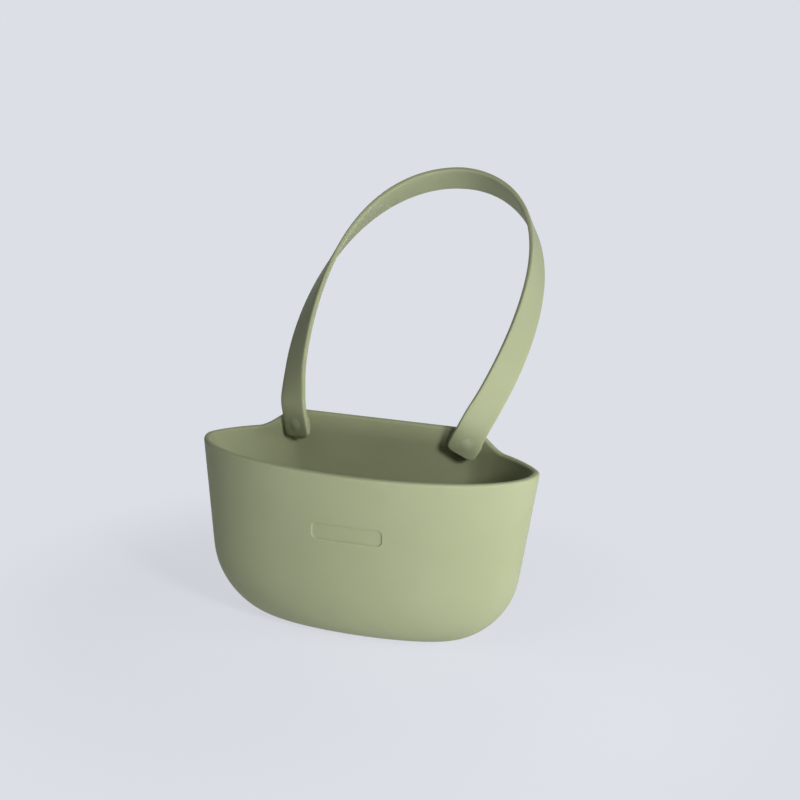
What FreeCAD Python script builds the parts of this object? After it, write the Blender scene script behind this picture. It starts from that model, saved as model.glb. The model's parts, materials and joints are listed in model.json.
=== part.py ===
"""Kitchen sink caddy: a soft moulded pocket that hangs from a strap looped over the tap.

Frame: X across the pocket, +Y towards its flat back wall, +Z up, in millimetres.
The origin is on the underside of the flat base, below the middle of the rim.
"""
import FreeCAD, Part
import math
import os

V = FreeCAD.Vector

# Pocket, outside sizes
pocket_width = 130.0
pocket_depth = 55.0
back_height = 78.8
back_raise = 6.9
wall = 2.4
floor_thickness = 2.6
lip_radius = 0.95

# Plan of the rim: flat back, slanting sides, elliptical front.
# The flat and the raised edge of the back reach a little past the snap fasteners.
flat_past_snap = 1.5
shoulder_past_snap = 0.5
shoulder_run = 14.7
shoulder_split_y = 9.0
widest_line_y = 4.1
back_corner_handle = 12.0
tip_share = 0.2

# How the sides and front draw in below the rim: draft, then a rounded lower corner.
# The back wall stands upright and only has the corner.
side_draft = 5.4
side_corner_run = 28.0
side_corner_rise = 28.5
front_draft = 6.8
front_corner_run = 17.7
front_corner_rise = 26.3
back_corner_run = 7.0
back_corner_rise = 12.0
base_lift = 1.0
form_sections = 16
form_crowding = 1.8
cut_margin = 6.0

# Shallow plate recess on the front
plate_width = 26.5
plate_height = 6.4
plate_corner = 2.0
plate_depth = 0.6
plate_edge = 0.25
plate_centre_z = 48.8

# Drain holes in the base
drain_diameter = 4.5
drain_pitch_x = 9.0
drain_pitch_y = 8.0
drain_columns = 5
drain_rows = 3
drain_centre_y = 8.0

# Strap
strap_length = 300.0
strap_width = 12.0
strap_thickness = 2.0
end_margin = 4.9
end_corner = 2.5
flex_rise = 8.5
knuckle_gap = 0.3

# Snap fasteners: each joins one strap end to the back wall, axis along Y
snap_half_spacing = 34.2
snap_drop = 4.9
seat_diameter = 8.0
seat_height = 0.4
socket_flange_diameter = 7.8
socket_flange = 0.6
socket_ring_diameter = 6.8
socket_ring_height = 1.2
socket_lip = 0.4
stud_gap = 0.2
stud_flange_diameter = 13.0
stud_flange = 0.6
knob_diameter = 4.4
knob_neck_diameter = 3.6
knob_end_gap = 0.2
knob_bulb = 0.6
knob_play = 0.3
undercut = 0.2
post_diameter = 2.4
post_play = 0.1
strap_cap_diameter = 6.8
strap_cap_thickness = 0.9
strap_cap_proud = 0.2
wall_cap_diameter = 7.2
wall_cap_thickness = 0.8
cap_play = 0.2
cap_sink = 0.2
knob_cover = 0.3
overcut = 1.0

# Pose of the strap as it stands: turned out on the snaps, leaning back, twisting a quarter turn,
# and swaying to the right. Angles in degrees, along each leg from the flex line to the crown.
left_heading = 11.2
left_heading_linear = -72.4
left_heading_square = 99.5
right_heading = 22.2
right_heading_linear = -54.8
right_heading_square = 70.0
heading_at_crown = -90.0
lean_at_flex = 36.6
lean_gain = 18.1
twist_low = 38.1
twist_high = 80.9
twist_from = 4.4
twist_to = 117.1
twist_settle = 16.0
loop_sections = 14
steps_per_section = 30

# How near to a plane or a direction an edge must lie to be picked for a fillet
pick = 0.01

rim_height = back_height - back_raise
back_flat_half = snap_half_spacing + flat_past_snap
shoulder_start = snap_half_spacing + shoulder_past_snap
shoulder_end = shoulder_start + shoulder_run


def smooth(k):
    """Smooth step from 0 to 1."""
    k = min(max(k, 0.0), 1.0)
    return k * k * (3 - 2 * k)


def cylinder_y(radius, x, y0, y1, z):
    """Cylinder along Y from y0 to y1."""
    return Part.makeCylinder(radius, y1 - y0, V(x, y0, z), V(0, 1, 0))


def draw_in(level, draft, run, rise):
    """How far the outside lies in from the rim's outline at a height above the base."""
    corner = max(rise - level, 0.0) / (rise + base_lift)
    taper = (rim_height - level) * math.tan(math.radians(draft))
    return taper + run * (1 - math.sqrt(1 - corner ** 2))


def outline(level, height, inset):
    """Closed outline of the pocket's form at a level, placed at a height, moved in by inset."""
    half = pocket_width / 2 - draw_in(level, side_draft, side_corner_run, side_corner_rise) - inset
    front = -pocket_depth / 2 + draw_in(level, front_draft, front_corner_run, front_corner_rise) + inset
    back = pocket_depth / 2 - draw_in(level, 0.0, back_corner_run, back_corner_rise) - inset
    scale = half / (pocket_width / 2)
    flat = back_flat_half * scale
    edges = [Part.LineSegment(V(-flat, back, height), V(flat, back, height)).toShape()]
    for side in (1, -1):
        corner = Part.BezierCurve()
        corner.setPoles([
            V(side * flat, back, height),
            V(side * (flat + back_corner_handle * scale), back, height),
            V(side * half, widest_line_y + tip_share * (half - flat), height),
            V(side * half, widest_line_y, height),
        ])
        edges.append(corner.toShape())
    bow = Part.Ellipse(V(0, widest_line_y, height), half, widest_line_y - front)
    edges.insert(2, Part.ArcOfEllipse(bow, math.pi, 2 * math.pi).toShape())
    return Part.Wire(Part.__sortEdges__(edges))


def form(inset, lift, top):
    """Solid of the pocket's form, moved in by inset and up by lift, from its base to top."""
    shares = [(k / form_sections) ** form_crowding for k in range(form_sections + 1)]
    levels = [(top - lift) * share for share in shares]
    return Part.makeLoft([outline(level, level + lift, inset) for level in levels], True, False)


# Pocket: an outer form less an inner one, cut to the rim and the raised back
over = back_height + cut_margin
outer = form(0.0, 0.0, over)
inner = form(wall, floor_thickness, over + cut_margin)
pocket = outer.cut(inner)

reach = pocket_width
third = (shoulder_end - shoulder_start) / 3
shoulders = []
for side in (-1, 1):
    curve = Part.BezierCurve()
    curve.setPoles([
        V(side * shoulder_start, shoulder_split_y, back_height),
        V(side * (shoulder_start + third), shoulder_split_y, back_height),
        V(side * (shoulder_end - third), shoulder_split_y, rim_height),
        V(side * shoulder_end, shoulder_split_y, rim_height),
    ])
    shoulders.append(curve.toShape())
corners = [
    V(shoulder_end, shoulder_split_y, rim_height),
    V(reach, shoulder_split_y, rim_height),
    V(reach, shoulder_split_y, over + cut_margin),
    V(-reach, shoulder_split_y, over + cut_margin),
    V(-reach, shoulder_split_y, rim_height),
    V(-shoulder_end, shoulder_split_y, rim_height),
]
edges = [Part.LineSegment(a, b).toShape() for a, b in zip(corners, corners[1:])]
edges.append(Part.LineSegment(V(-shoulder_start, shoulder_split_y, back_height),
                              V(shoulder_start, shoulder_split_y, back_height)).toShape())
back_cut = Part.Face(Part.Wire(Part.__sortEdges__(edges + shoulders))).extrude(V(0, reach, 0))
front_cut = Part.makeBox(2 * reach, reach, reach, V(-reach, shoulder_split_y - reach, rim_height))
pocket = pocket.cut(back_cut).cut(front_cut).removeSplitter()

top_edges = {}
for face in pocket.Faces:
    if face.BoundBox.ZMin > rim_height - pick:
        for edge in face.Edges:
            key = edge.hashCode()
            top_edges[key] = None if key in top_edges else edge
lip_edges = [edge for edge in top_edges.values() if edge is not None]
pocket = pocket.makeFillet(lip_radius, lip_edges)

# Plate recess, of even depth below the curved front
flat_plate = Part.makeBox(plate_width, pocket_depth, plate_height,
                          V(-plate_width / 2, -pocket_depth, plate_centre_z - plate_height / 2))
upright = [e for e in flat_plate.Edges if abs(e.tangentAt(e.FirstParameter).y) > 1 - pick]
flat_plate = flat_plate.makeFillet(plate_corner, upright)
pocket = pocket.cut(flat_plate.common(outer).cut(form(plate_depth, 0.0, over)))
plate_edges = []
for edge in pocket.Edges:
    box = edge.BoundBox
    across = max(abs(box.XMin), abs(box.XMax)) < plate_width / 2 + pick
    level = max(plate_centre_z - box.ZMin, box.ZMax - plate_centre_z) < plate_height / 2 + pick
    if across and level and box.YMax < 0 and edge.Length > plate_depth + plate_edge:
        plate_edges.append(edge)
pocket = pocket.makeFillet(plate_edge, plate_edges)

# Drain holes, in staggered rows
for row in range(drain_rows):
    count = drain_columns - (row + 1) % 2
    for column in range(count):
        x = (column - (count - 1) / 2) * drain_pitch_x
        y = drain_centre_y + (row - (drain_rows - 1) / 2) * drain_pitch_y
        hole = Part.makeCylinder(drain_diameter / 2, floor_thickness + 2 * overcut, V(x, y, -overcut))
        pocket = pocket.cut(hole)

# Snap fasteners, stacked from the back wall towards the front
snap_z = back_height - snap_drop
inner_back = pocket_depth / 2 - wall
seat_front = inner_back - seat_height
socket_front = seat_front - socket_flange
ring_front = socket_front - socket_ring_height
stud_back = ring_front - stud_gap
strap_back = stud_back - stud_flange
strap_front = strap_back - strap_thickness
strap_middle = (strap_front + strap_back) / 2
knob_end = socket_front - knob_end_gap
wall_recess = pocket_depth / 2 - wall_cap_thickness - cap_sink
cap_floor = strap_front + strap_cap_thickness - strap_cap_proud
post_hole = post_diameter / 2 + post_play
mouth = knob_diameter / 2 + knob_play

pieces = {}
for name, side in (("left", -1), ("right", 1)):
    x = side * snap_half_spacing

    def rod(diameter, y0, y1):
        return cylinder_y(diameter / 2, x, y0, y1, snap_z)

    # The pocket's own share: a raised seat inside, a hole and a shallow recess outside
    pocket = pocket.fuse(rod(seat_diameter, seat_front, inner_back + wall / 2))
    pocket = pocket.cut(rod(2 * post_hole, seat_front - overcut, pocket_depth))
    pocket = pocket.cut(rod(wall_cap_diameter + 2 * cap_play, wall_recess, pocket_depth))

    wall_cap = rod(wall_cap_diameter, wall_recess, wall_recess + wall_cap_thickness)
    wall_cap = wall_cap.fuse(rod(post_diameter, socket_front, wall_recess))
    pieces[name + "_wall_cap"] = wall_cap

    socket = rod(socket_flange_diameter, socket_front, seat_front)
    socket = socket.fuse(rod(socket_ring_diameter, ring_front, socket_front))
    socket = socket.cut(rod(2 * mouth, ring_front - overcut, ring_front + socket_lip))
    socket = socket.cut(rod(2 * (mouth + undercut), ring_front + socket_lip, socket_front))
    socket = socket.cut(rod(2 * post_hole, ring_front, seat_front + overcut))
    pieces[name + "_snap_socket"] = socket

    stud = rod(stud_flange_diameter, strap_back, stud_back)
    stud = stud.fuse(rod(knob_neck_diameter, stud_back, knob_end - knob_bulb))
    stud = stud.fuse(rod(knob_diameter, knob_end - knob_bulb, knob_end))
    stud = stud.cut(rod(2 * post_hole, strap_back - overcut, knob_end - knob_cover))
    pieces[name + "_snap_stud"] = stud

    cap_front = cap_floor - strap_cap_thickness
    strap_cap = rod(strap_cap_diameter, cap_front, cap_floor)
    rims = [e for e in strap_cap.Edges if abs(e.CenterOfMass.y - cap_front) < pick]
    strap_cap = strap_cap.makeChamfer(strap_cap_proud, rims)
    strap_cap = strap_cap.fuse(rod(post_diameter, cap_floor, knob_end - knob_cover))
    pieces[name + "_strap_cap"] = strap_cap

# Strap ends: flat, rounded below, turned outwards on the snaps, up to the flex line
flex_z = snap_z + flex_rise
knuckle = strap_thickness / 2
headings = {
    -1: (left_heading, left_heading_linear, left_heading_square),
    1: (right_heading, right_heading_linear, right_heading_square),
}


def end_turn(side):
    """Angle by which one strap end is turned outwards, in radians."""
    return math.radians(headings[side][0])


def flex_middle(side):
    """X of the middle of the strap on the flex line."""
    return side * (snap_half_spacing + flex_rise * math.tan(end_turn(side)))


def flex_half(side):
    """Half the length of the strap's crossing of the flex line."""
    return strap_width / 2 / math.cos(end_turn(side))


def flex_rod(radius, middle, half):
    """Cylinder along X on the flex line."""
    return Part.makeCylinder(radius, 2 * half, V(middle - half, strap_middle, flex_z), V(1, 0, 0))


for name, side in (("left", -1), ("right", 1)):
    x = side * snap_half_spacing
    end = Part.makeBox(strap_width, strap_thickness, end_margin + 2 * flex_rise,
                       V(-strap_width / 2, strap_front, -end_margin))
    lowest = [e for e in end.Edges if e.BoundBox.ZMax < pick - end_margin]
    low = [e for e in lowest if e.BoundBox.XLength < pick]
    end = end.makeFillet(end_corner, low)
    end.rotate(V(0, 0, 0), V(0, 1, 0), side * math.degrees(end_turn(side)))
    end.translate(V(x, 0, snap_z))
    above = Part.makeBox(4 * strap_width, 4 * strap_width, 4 * strap_width,
                         V(x - 2 * strap_width, strap_middle - 2 * strap_width, flex_z))
    end = end.cut(above).cut(flex_rod(knuckle + knuckle_gap, flex_middle(side), 2 * strap_width))
    end = end.cut(cylinder_y(post_hole, x, strap_front - overcut, strap_back + overcut, snap_z))
    cap_seat = strap_cap_diameter / 2 + cap_play
    end = end.cut(cylinder_y(cap_seat, x, strap_front - overcut, cap_floor, snap_z))
    pieces["strap_" + name + "_end"] = end


# Strap loop: each leg is followed by its heading, lean and twist from the flex line to the crown.
# Both legs are worked out as if on the right, and the left one is then mirrored.
def leg_frame(side, k):
    """Tangent, width vector and face normal of one leg at a share k of its run."""
    start, linear, square = headings[side]
    cubic = heading_at_crown - start - linear - square
    heading = math.radians(start + linear * k + square * k ** 2 + cubic * k ** 3)
    lean = math.radians(lean_at_flex + lean_gain * k)
    along = k * leg_run(side)
    gain = smooth((along - twist_from) / (twist_to - twist_from))
    twist = (twist_low + (twist_high - twist_low) * gain) * smooth(along / twist_settle)
    twist = math.radians(twist)
    up = V(0, math.sin(lean), math.cos(lean))
    out = V(1, 0, 0)
    ahead = V(0, -math.cos(lean), math.sin(lean))
    tangent = up * math.cos(heading) + out * math.sin(heading)
    inward = up * math.sin(heading) - out * math.cos(heading)
    width = inward * math.cos(twist) + ahead * math.sin(twist)
    return tangent, width, width.cross(tangent)


def leg_run(side):
    """Length of one leg from the flex line to the crown."""
    return strap_length / 2 - end_margin - flex_rise / math.cos(end_turn(side))


def leg_centres(side):
    """Points of one leg's centre line at even shares of its run."""
    point = V(side * flex_middle(side), strap_middle, flex_z)
    centres = [point]
    share = 1 / (loop_sections * steps_per_section)
    for i in range(loop_sections * steps_per_section):
        point = point + leg_frame(side, (i + 0.5) * share)[0] * (leg_run(side) * share)
        if (i + 1) % steps_per_section == 0:
            centres.append(point)
    return centres


def mirrored(point, side):
    """A point of the right leg, or its mirror image for the left one."""
    return V(side * point.x, point.y, point.z)


centres = {side: leg_centres(side) for side in (-1, 1)}
half_gap = (mirrored(centres[1][-1], 1) - mirrored(centres[-1][-1], -1)) * 0.5
sections = []
for step in range(-loop_sections, loop_sections + 1):
    side = 1 if step > 0 else -1
    station = loop_sections - abs(step)
    k = station / loop_sections
    tangent, width, normal = leg_frame(side, k)
    half = strap_width / 2
    if station == 0:
        width = V(-1, 0, 0)
        half = flex_half(side)
    middle = mirrored(centres[side][station], side) - half_gap * (side * smooth(k))
    corners = []
    for a, b in ((1, 1), (1, -1), (-1, -1), (-1, 1)):
        corner = width * (a * half) + normal * (b * strap_thickness / 2)
        corners.append(middle + mirrored(corner, side))
    sections.append(Part.makePolygon(corners + corners[:1]))
loop = Part.makeLoft(sections, True, False)
for side in (-1, 1):
    loop = loop.fuse(flex_rod(knuckle, flex_middle(side), flex_half(side)))
pieces["strap_loop"] = loop
pieces["pocket"] = pocket.removeSplitter()

os.makedirs("parts", exist_ok=True)
for name, shape in pieces.items():
    state = "valid" if shape.isValid() else "NOT VALID"
    print(name, state, len(shape.Solids), "solid", round(shape.Volume, 1), "mm3")
    shape.exportStep("parts/" + name + ".step")
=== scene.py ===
import json
import math
import bpy
from mathutils import Matrix, Vector


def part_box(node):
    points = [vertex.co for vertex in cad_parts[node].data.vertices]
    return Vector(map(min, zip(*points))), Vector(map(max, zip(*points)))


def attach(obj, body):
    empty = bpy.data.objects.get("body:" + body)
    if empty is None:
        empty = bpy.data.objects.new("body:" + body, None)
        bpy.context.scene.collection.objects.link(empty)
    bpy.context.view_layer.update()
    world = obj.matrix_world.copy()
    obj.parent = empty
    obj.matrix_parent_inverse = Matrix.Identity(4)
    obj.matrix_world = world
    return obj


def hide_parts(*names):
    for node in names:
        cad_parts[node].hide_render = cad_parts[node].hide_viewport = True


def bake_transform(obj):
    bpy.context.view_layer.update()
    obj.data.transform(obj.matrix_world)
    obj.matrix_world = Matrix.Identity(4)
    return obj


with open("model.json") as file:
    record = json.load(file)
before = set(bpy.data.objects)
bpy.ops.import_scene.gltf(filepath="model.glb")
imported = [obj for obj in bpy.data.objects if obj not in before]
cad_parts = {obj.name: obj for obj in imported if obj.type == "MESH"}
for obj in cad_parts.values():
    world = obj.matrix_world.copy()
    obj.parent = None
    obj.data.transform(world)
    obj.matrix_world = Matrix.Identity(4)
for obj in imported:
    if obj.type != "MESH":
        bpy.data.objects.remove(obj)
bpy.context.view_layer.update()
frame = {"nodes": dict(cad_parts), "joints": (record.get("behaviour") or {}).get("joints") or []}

# Pocket. One injection-moulded piece of soft thermoplastic rubber (TPR), open at the top, with a
# rounded lip, a raised back edge and a bare shallow plate on the front. Its lower corners are well
# rounded, so that it leaves its mould easily, and its surface has the mould's fine matte grain.
MM = 0.001


def linear(hex_colour):
    """Linear RGBA of an sRGB hex colour."""
    channels = [int(hex_colour[i:i + 2], 16) / 255 for i in (1, 3, 5)]
    return [c / 12.92 if c <= 0.04045 else ((c + 0.055) / 1.055) ** 2.4 for c in channels] + [1.0]


def bare_tree(owner):
    """The node tree of a material or a world, emptied."""
    owner.use_nodes = True
    owner.node_tree.nodes.clear()
    return owner.node_tree


def add_node(tree, kind, inputs=(), **settings):
    """Adds one node. Each input is a value or the output socket that it is linked to."""
    made = tree.nodes.new(kind)
    for name, value in settings.items():
        setattr(made, name, value)
    for name, value in dict(inputs).items():
        if isinstance(value, bpy.types.NodeSocket):
            tree.links.new(value, made.inputs[name])
        else:
            made.inputs[name].default_value = value
    return made


def dress(node, material):
    """Gives a CAD node its finish."""
    for slot in frame["nodes"][node].material_slots:
        slot.material = material


# Moulded TPR: dull and slightly waxy, with a broad soft highlight. Light enters it by about a
# millimetre, which softens its shaded sides. The grain of an eroded mould is about 0.1 mm and is
# drawn at 0.5 mm, as coarse as it needs to show. Flow of the melt leaves clouds of slightly
# different tone, some 35 mm across.
grain_width = 0.5 * MM
grain_depth = 0.02 * MM
cloud_width = 35 * MM
light_reach = 1.5 * MM
sage_tpr = bpy.data.materials.new("sage_moulded_tpr")
tree = bare_tree(sage_tpr)
place = add_node(tree, "ShaderNodeTexCoord").outputs["Object"]
clouds = add_node(tree, "ShaderNodeTexNoise", {"Vector": place, "Scale": 1 / cloud_width, "Detail": 2.0})
grain = add_node(tree, "ShaderNodeTexNoise", {"Vector": place, "Scale": 1 / grain_width, "Detail": 1.0})
tones = add_node(tree, "ShaderNodeValToRGB", {"Fac": clouds.outputs["Fac"]})
for stop, position, tone in zip(tones.color_ramp.elements, (0.35, 0.65), ("#A1A785", "#A5AB89")):
    stop.position = position
    stop.color = linear(tone)
dullness = add_node(tree, "ShaderNodeMapRange", {
    "Value": grain.outputs["Fac"],
    "To Min": 0.50,
    "To Max": 0.60,
})
relief = add_node(tree, "ShaderNodeBump", {
    "Height": grain.outputs["Fac"],
    "Strength": 0.15,
    "Distance": grain_depth,
})
skin = add_node(tree, "ShaderNodeBsdfPrincipled", {
    "Base Color": tones.outputs["Color"],
    "Roughness": dullness.outputs["Result"],
    "Normal": relief.outputs["Normal"],
    "IOR": 1.48,
    "Specular IOR Level": 0.12,
    "Subsurface Weight": 0.4,
    "Subsurface Radius": (1.0, 1.05, 0.45),
    "Subsurface Scale": light_reach,
})
add_node(tree, "ShaderNodeOutputMaterial", {"Surface": skin.outputs["BSDF"]})

dress("pocket", sage_tpr)

# Strap. One flat moulded TPR strap, 300 x 12 x 2 mm with rounded edges, held by a snap at each end.
# Let stand, it leans back from the pocket, twists a quarter turn on the way up each leg and sways
# to the right, as its two ends are turned by different amounts on their snaps. Sizes in mm.
LEFT, RIGHT = -1, 1
strap_length = 300.0
half_length = strap_length / 2
strap_width = 12.0
strap_thickness = 2.0
edge_radius = 0.7

# Each end is rounded over a short length, to an outline that is fuller than an ellipse: this is its
# power across the strap, where an ellipse has 2. The margin is from the tip to the snap.
end_round = 2.2
end_fullness = 4
end_margin = 4.9

# Each snap is on the axis of its wall cap. The strap folds back at the hinge above the snaps, and
# its bend there reaches as far below the hinge as above it.
cap_low, cap_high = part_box("right_wall_cap")
snap_half_spacing = (cap_low[0] + cap_high[0]) / 2 / MM
snap_z = (cap_low[2] + cap_high[2]) / 2 / MM
hinge = next(joint for joint in frame["joints"] if joint["name"] == "loop_tilt")
strap_middle, flex_z = (position / MM for position in hinge["pos_m"][1:])
flex_rise = flex_z - snap_z
flex_bend = 5.0

# How it stands, in degrees: the start, slope and curve of each leg's heading, then its lean, and its
# twist from the end face past a middle stretch to the crown. Runs are in mm from the free end.
# As photographed, each end sits about half a millimetre nearer the middle than its snap.
headings = {LEFT: (11.2, -72.4, 99.5), RIGHT: (22.2, -54.8, 70.0)}
heading_at_crown = -90.0
lean_at_flex = 36.6
lean_gain = 18.1
twist_at_end = {LEFT: 25.0, RIGHT: -8.0}
twist_low = 38.1
twist_high = 80.9
low_from = {LEFT: 8.0, RIGHT: -4.5}
low_run = {LEFT: 22.0, RIGHT: 31.2}
high_from = 18.2
high_run = 112.7
end_shift = {LEFT: -0.4, RIGHT: -0.5}
shift_run = 60.0


def smooth(share):
    """Smooth step from 0 to 1."""
    share = min(max(share, 0.0), 1.0)
    return share * share * (3 - 2 * share)


def flex_distance(side):
    """Distance from a leg's free end to where it folds back."""
    return end_margin + flex_rise / math.cos(math.radians(headings[side][0]))


def leg_share(side, distance):
    """How far up its leg a distance from the free end is: 0 as far as the fold, 1 at the crown."""
    flex = flex_distance(side)
    return max(distance - flex, 0.0) / (half_length - flex)


def leg_frame(side, distance):
    """Tangent, width vector and face normal of a leg at a distance from its free end.

    Either leg is worked out as if it were on the right.
    """
    share = leg_share(side, distance)
    start, slope, curve = headings[side]
    steepening = heading_at_crown - start - slope - curve
    heading = math.radians(start + slope * share + curve * share ** 2 + steepening * share ** 3)
    bent = smooth((distance - flex_distance(side) + flex_bend) / (2 * flex_bend))
    lean = math.radians((lean_at_flex + lean_gain * share) * bent)
    twist = twist_at_end[side]
    twist += (twist_low - twist_at_end[side]) * smooth((distance - low_from[side]) / low_run[side])
    twist += (twist_high - twist_low) * smooth((distance - high_from) / high_run)
    twist = math.radians(twist)
    up = Vector((0, math.sin(lean), math.cos(lean)))
    out = Vector((1, 0, 0))
    ahead = Vector((0, -math.cos(lean), math.sin(lean)))
    tangent = up * math.cos(heading) + out * math.sin(heading)
    inward = up * math.sin(heading) - out * math.cos(heading)
    width = inward * math.cos(twist) + ahead * math.sin(twist)
    return tangent, width, width.cross(tangent)


# How finely it is drawn: sections on a rounded end, the step between the others, the step of the
# walk along a leg, and points round an edge and across a face. An edge's radius takes at most a share
# of a section's half sizes, so that its points stay apart at the tips.
end_sections = 10
section_step = 1.5
walk_step = 0.25
edge_points = 5
face_points = 5
edge_share = 0.95
crease_angle = math.radians(50)


def leg_stations():
    """Distances from a free end at which the strap's section is drawn, close together at the end."""
    close = [end_round * (i / end_sections) ** 2 for i in range(1, end_sections + 1)]
    count = math.ceil((half_length - end_round) / section_step)
    even = [end_round + (half_length - end_round) * i / count for i in range(1, count + 1)]
    return close + even


def leg_line(side, stations):
    """Centre points of a leg at its stations, as if it were on the right."""
    at_snap = Vector((snap_half_spacing, strap_middle, snap_z))
    point = at_snap - leg_frame(side, 0.0)[0] * end_margin
    walked = 0.0
    line = []
    for station in stations:
        steps = max(1, math.ceil((station - walked) / walk_step))
        step = (station - walked) / steps
        for i in range(steps):
            point = point + leg_frame(side, walked + (i + 0.5) * step)[0] * step
        walked = station
        line.append(point + Vector((end_shift[side] * (1 - smooth(walked / shift_run)), 0, 0)))
    return line


def mirrored(point, side):
    """A point or a vector of the right leg, or its mirror image for the left one."""
    return Vector((side * point.x, point.y, point.z))


def section_ring(half_width, half_thickness):
    """Points round the strap's section, a rectangle with rounded edges: across it and out of it."""
    radius = min(edge_radius, edge_share * half_width, edge_share * half_thickness)
    flat_width = half_width - radius
    flat_thickness = half_thickness - radius
    ring = []
    for across, out, start in ((1, 1, 0), (-1, 1, 90), (-1, -1, 180), (1, -1, 270)):
        for i in range(edge_points):
            angle = math.radians(start + 90 / (edge_points - 1) * i)
            ring.append((across * flat_width + radius * math.cos(angle),
                         out * flat_thickness + radius * math.sin(angle)))
        if start in (0, 180):
            shares = [1 - 2 * i / (face_points + 1) for i in range(1, face_points + 1)]
            ring += [(across * flat_width * share, out * half_thickness) for share in shares]
    return ring


def add_object(name, data):
    """Puts a mesh, a lamp or a camera in the scene."""
    made = bpy.data.objects.new(name, data)
    bpy.context.collection.objects.link(made)
    return made


def lofted(name, rings, material):
    """A closed mesh through rings of points in mm, all with the same number of points."""
    size = len(rings[0])
    points = [point * MM for ring in rings for point in ring]
    faces = [tuple(reversed(range(size))), tuple(range(len(points) - size, len(points)))]
    for i in range(len(rings) - 1):
        for j in range(size):
            near, far = i * size, (i + 1) * size
            faces.append((near + j, near + (j + 1) % size, far + (j + 1) % size, far + j))
    mesh = bpy.data.meshes.new(name)
    mesh.from_pydata(points, [], faces)
    mesh.validate()
    mesh.polygons.foreach_set("use_smooth", [True] * len(mesh.polygons))
    mesh.set_sharp_from_angle(angle=crease_angle)
    mesh.materials.append(material)
    return add_object(name, mesh)


# From the left tip up to the crown and down to the right tip. The legs meet at the crown, where each
# of them takes up half of the gap between their lines.
stations = leg_stations()
lines = {side: leg_line(side, stations) for side in (LEFT, RIGHT)}
half_gap = (mirrored(lines[RIGHT][-1], RIGHT) - mirrored(lines[LEFT][-1], LEFT)) / 2
rings = []
for side, order in ((LEFT, range(len(stations))), (RIGHT, reversed(range(len(stations) - 1)))):
    for i in order:
        station = stations[i]
        width, normal = leg_frame(side, station)[1:]
        closing = smooth(leg_share(side, station))
        middle = mirrored(lines[side][i], side) - half_gap * (side * closing)
        short = max(1 - station / end_round, 0.0)
        half_width = strap_width / 2 * (1 - short ** 2) ** (1 / end_fullness)
        blunt = max(1 - station / edge_radius, 0.0)
        half_thickness = strap_thickness / 2 - edge_radius * (1 - math.sqrt(1 - blunt ** 2))
        rings.append([middle + mirrored(width * across + normal * out, side)
                      for across, out in section_ring(half_width, half_thickness)])

strap = lofted("strap", rings, sage_tpr)
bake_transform(strap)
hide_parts("strap_left_end", "strap_right_end", "strap_loop")

# Snap fasteners. Each strap end is held by a four-piece snap in the same green: a post cap through
# the strap, a stud behind it, and a socket whose cap lies flush in the outside of the back wall.
# They are hard moulded acetal, pressed together on their posts.

# Moulded acetal: smoother and a little glossier than the TPR, with the faint mottle of its mould.
mottle_width = 0.8 * MM
mottle_depth = 0.02 * MM
sage_acetal = bpy.data.materials.new("sage_moulded_acetal")
tree = bare_tree(sage_acetal)
place = add_node(tree, "ShaderNodeTexCoord").outputs["Object"]
mottle = add_node(tree, "ShaderNodeTexNoise", {"Vector": place, "Scale": 1 / mottle_width, "Detail": 2.0})
tones = add_node(tree, "ShaderNodeValToRGB", {"Fac": mottle.outputs["Fac"]})
for stop, position, tone in zip(tones.color_ramp.elements, (0.3, 0.7), ("#9EA582", "#A4AB87")):
    stop.position = position
    stop.color = linear(tone)
relief = add_node(tree, "ShaderNodeBump", {
    "Height": mottle.outputs["Fac"],
    "Strength": 0.15,
    "Distance": mottle_depth,
})
gloss = add_node(tree, "ShaderNodeMapRange", {
    "Value": mottle.outputs["Fac"],
    "To Min": 0.32,
    "To Max": 0.42,
})
skin = add_node(tree, "ShaderNodeBsdfPrincipled", {
    "Base Color": tones.outputs["Color"],
    "Roughness": gloss.outputs["Result"],
    "Normal": relief.outputs["Normal"],
    "IOR": 1.48,
})
add_node(tree, "ShaderNodeOutputMaterial", {"Surface": skin.outputs["BSDF"]})

# The cap and the stud are turned pieces that follow the strap's end face, which stands at an angle
# to the wall. The left stud stays centred on its snap, where its flange shows beside the strap.
# Profiles are radius and distance from the strap's middle in mm: the cap's from its post over its
# edge to its low dome, the stud's round its flange, in to its neck and round its knob.
post_radius = 1.2
post_end = -0.5
cap_radius = 3.5
cap_seat = 0.4
cap_edge = 0.2
cap_face = 0.97
cap_rise = 0.35
dome_rings = 13
cap_profile = [(post_radius, post_end), (post_radius, cap_seat),
               (cap_radius - cap_edge, cap_seat), (cap_radius, cap_seat + cap_edge)]
for i in range(dome_rings):
    inset = i / dome_rings
    cap_profile.append((cap_radius * (1 - inset), cap_face + cap_rise * (1 - (1 - inset) ** 2) ** 2))
stud_profile = [(6.2, 1.0), (6.42, 1.09), (6.5, 1.3), (6.42, 1.51), (6.2, 1.6), (2.0, 1.6), (1.8, 1.75),
                (1.8, 2.05), (2.1, 2.25), (2.2, 2.45), (2.1, 2.65), (1.7, 2.8), (0.5, 2.8)]
turned_sides = 64


def turned(name, profile, middle, axis):
    """A piece of acetal turned about an axis through a point."""
    across = axis.orthogonal().normalized()
    beside = axis.cross(across)
    angles = [math.tau * i / turned_sides for i in range(turned_sides)]
    spokes = [across * math.cos(angle) + beside * math.sin(angle) for angle in angles]
    rings = [[middle + axis * along + spoke * radius for spoke in spokes] for radius, along in profile]
    return lofted(name, rings, sage_acetal)


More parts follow.
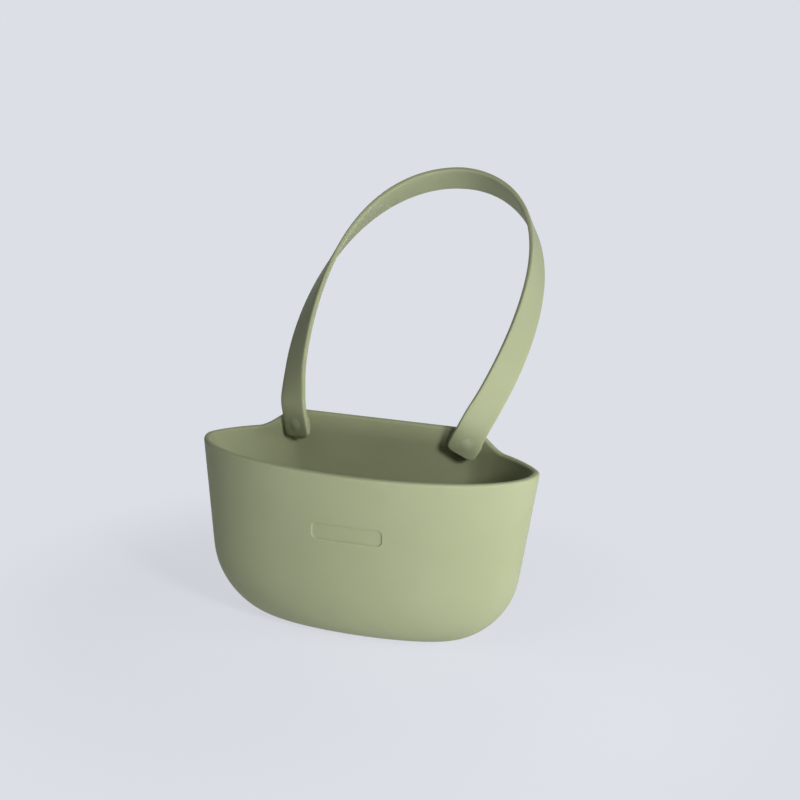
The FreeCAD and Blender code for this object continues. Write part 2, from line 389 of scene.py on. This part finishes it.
for side, side_name in ((LEFT, "left"), (RIGHT, "right")):
    dress(side_name + "_wall_cap", sage_acetal)
    dress(side_name + "_snap_socket", sage_acetal)
    on_snap = Vector((side * snap_half_spacing, strap_middle, snap_z))
    on_strap = mirrored(leg_line(side, [end_margin])[0], side)
    behind = mirrored(leg_frame(side, end_margin)[2], side)
    stud_middle = on_snap if side == LEFT else on_strap
    for piece, profile, middle, axis in (("strap_cap", cap_profile, on_strap, -behind),
                                         ("snap_stud", stud_profile, stud_middle, behind)):
        made = turned(piece + "_" + side_name, profile, middle, axis)
        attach(made, "strap_ends")
        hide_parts(side_name + "_" + piece)

# Floor. A plain pale sheet that the caddy stands on, wide enough to be the background too. The
# camera sees it as an even pale tone, with the caddy's soft shadow on the part close around it.
# Light that it throws back on the caddy is that of a matte sheet, so it isn't sampled as a lamp.
backdrop = linear("#DCDFE6")
floor_half = 6000 * MM


def background_rays(tree):
    """1 for a ray that sees the background, straight, mirrored or through glass, and 0 for any other."""
    paths = add_node(tree, "ShaderNodeLightPath").outputs
    seen = paths["Is Camera Ray"]
    for kind in ("Is Glossy Ray", "Is Transmission Ray"):
        seen = add_node(tree, "ShaderNodeMath", {0: seen, 1: paths[kind]}, operation="MAXIMUM").outputs[0]
    return seen


# Pale card. Close to the caddy a share of the even tone gives way to card that the lamps light and
# the caddy shades. The level is how bright that card is where nothing shades it.
shadow_near = 90 * MM
shadow_far = 180 * MM
shadow_share = 0.30
floor_level = 0.65
pale_card = bpy.data.materials.new("pale_card")
pale_card.cycles.emission_sampling = "NONE"
tree = bare_tree(pale_card)
place = add_node(tree, "ShaderNodeTexCoord").outputs["Object"]
reach = add_node(tree, "ShaderNodeVectorMath", {0: place}, operation="LENGTH").outputs["Value"]
close_by = add_node(tree, "ShaderNodeMapRange", {
    "Value": reach,
    "From Min": shadow_near,
    "From Max": shadow_far,
    "To Min": shadow_share,
    "To Max": 0.0,
}, interpolation_type="SMOOTHSTEP").outputs["Result"]
even_level = add_node(tree, "ShaderNodeMath", {
    0: close_by,
    1: -floor_level,
    2: 1.0,
}, operation="MULTIPLY_ADD")
lit_tone = add_node(tree, "ShaderNodeVectorMath", {0: backdrop[:3], "Scale": close_by}, operation="SCALE")
even = add_node(tree, "ShaderNodeEmission", {"Color": backdrop, "Strength": even_level.outputs[0]})
shaded = add_node(tree, "ShaderNodeBsdfDiffuse", {"Color": lit_tone.outputs["Vector"]})
viewed = add_node(tree, "ShaderNodeAddShader", {0: even.outputs[0], 1: shaded.outputs[0]})
matte = add_node(tree, "ShaderNodeBsdfDiffuse", {"Color": backdrop})
mixed = add_node(tree, "ShaderNodeMixShader", {
    0: background_rays(tree),
    1: matte.outputs[0],
    2: viewed.outputs[0],
})
add_node(tree, "ShaderNodeOutputMaterial", {"Surface": mixed.outputs[0]})

corners = [(x * floor_half, y * floor_half, 0) for x, y in ((-1, -1), (1, -1), (1, 1), (-1, 1))]
sheet = bpy.data.meshes.new("floor")
sheet.from_pydata(corners, [], [(0, 1, 2, 3)])
sheet.materials.append(pale_card)
floor = add_object("floor", sheet)

# Light. Two small low soft boxes close by, at the front and at the right, a larger one higher and
# farther away between them, a weak high fill from the front left, a low one from behind that leaves
# no shine, and the even glow of a pale studio.
glow_level = 0.05
lamp_aim = Vector((0, 0, 55 * MM))
world = bpy.data.worlds.new("pale_studio")
bpy.context.scene.world = world
tree = bare_tree(world)
glow = add_node(tree, "ShaderNodeBackground", {"Color": backdrop, "Strength": glow_level})
wall = add_node(tree, "ShaderNodeBackground", {"Color": backdrop, "Strength": 1.0})
mixed = add_node(tree, "ShaderNodeMixShader", {
    0: background_rays(tree),
    1: glow.outputs[0],
    2: wall.outputs[0],
})
add_node(tree, "ShaderNodeOutputWorld", {"Surface": mixed.outputs[0]})


def direction(azimuth, elevation):
    """Unit vector out from the caddy at an azimuth, 0 its front and 90 its right, and an elevation."""
    around = math.radians(azimuth)
    above = math.radians(elevation)
    level = math.cos(above)
    return Vector((math.sin(around) * level, -math.cos(around) * level, math.sin(above)))


def add_lamp(name, kind, azimuth, elevation, distance, **settings):
    """A lamp that faces the caddy from a direction, at a distance in metres."""
    lamp = bpy.data.lights.new(name, kind)
    for setting, value in settings.items():
        setattr(lamp, setting, value)
    toward = direction(azimuth, elevation)
    stand = add_object(name, lamp)
    stand.location = lamp_aim + toward * distance
    stand.rotation_euler = toward.to_track_quat("Z", "Y").to_euler()
    return stand


add_lamp("low_front_box", "AREA", 25, -2, 0.4, size=0.08, energy=0.60)
add_lamp("front_right_box", "AREA", 50, 25, 0.8, size=0.15, energy=3.55)
add_lamp("low_right_box", "AREA", 90, 8, 0.4, size=0.1, energy=0.45)
add_lamp("left_fill", "SUN", 325, 60, 1.0, angle=math.radians(40), energy=0.26)
back_fill = add_lamp("back_fill", "SUN", 200, 8, 1.0, angle=math.radians(60), energy=0.8)
back_fill.visible_glossy = False

# Camera at the photograph's angle: to the right of the front, a little above, and rolled slightly.
# The frame is taken as 800 x 800; the shift puts the caddy where the photograph has it.
frame_px = 800
aim = Vector((0, 0, 41 * MM))
aim_px = (362.22, 531.70)
azimuth = 13.78
elevation = 21.46
roll = math.radians(-2.65)
distance = 500 * MM
px_per_mm = 2.61

back = direction(azimuth, elevation)
level = direction(azimuth + 90, 0)
upright = back.cross(level)
right = level * math.cos(roll) - upright * math.sin(roll)
up = upright * math.cos(roll) + level * math.sin(roll)
spot = aim + back * distance
lens = bpy.data.cameras.new("camera")
lens.sensor_width = 36.0
lens.lens = lens.sensor_width * px_per_mm * distance / MM / frame_px
lens.shift_x = (frame_px / 2 - aim_px[0]) / frame_px
lens.shift_y = (aim_px[1] - frame_px / 2) / frame_px
lens.clip_start = 10 * MM
camera = add_object("camera", lens)
camera.matrix_world = Matrix((
    (right.x, up.x, back.x, spot.x),
    (right.y, up.y, back.y, spot.y),
    (right.z, up.z, back.z, spot.z),
    (0, 0, 0, 1),
))
bpy.context.scene.camera = camera
bpy.context.scene.view_settings.view_transform = "Standard"
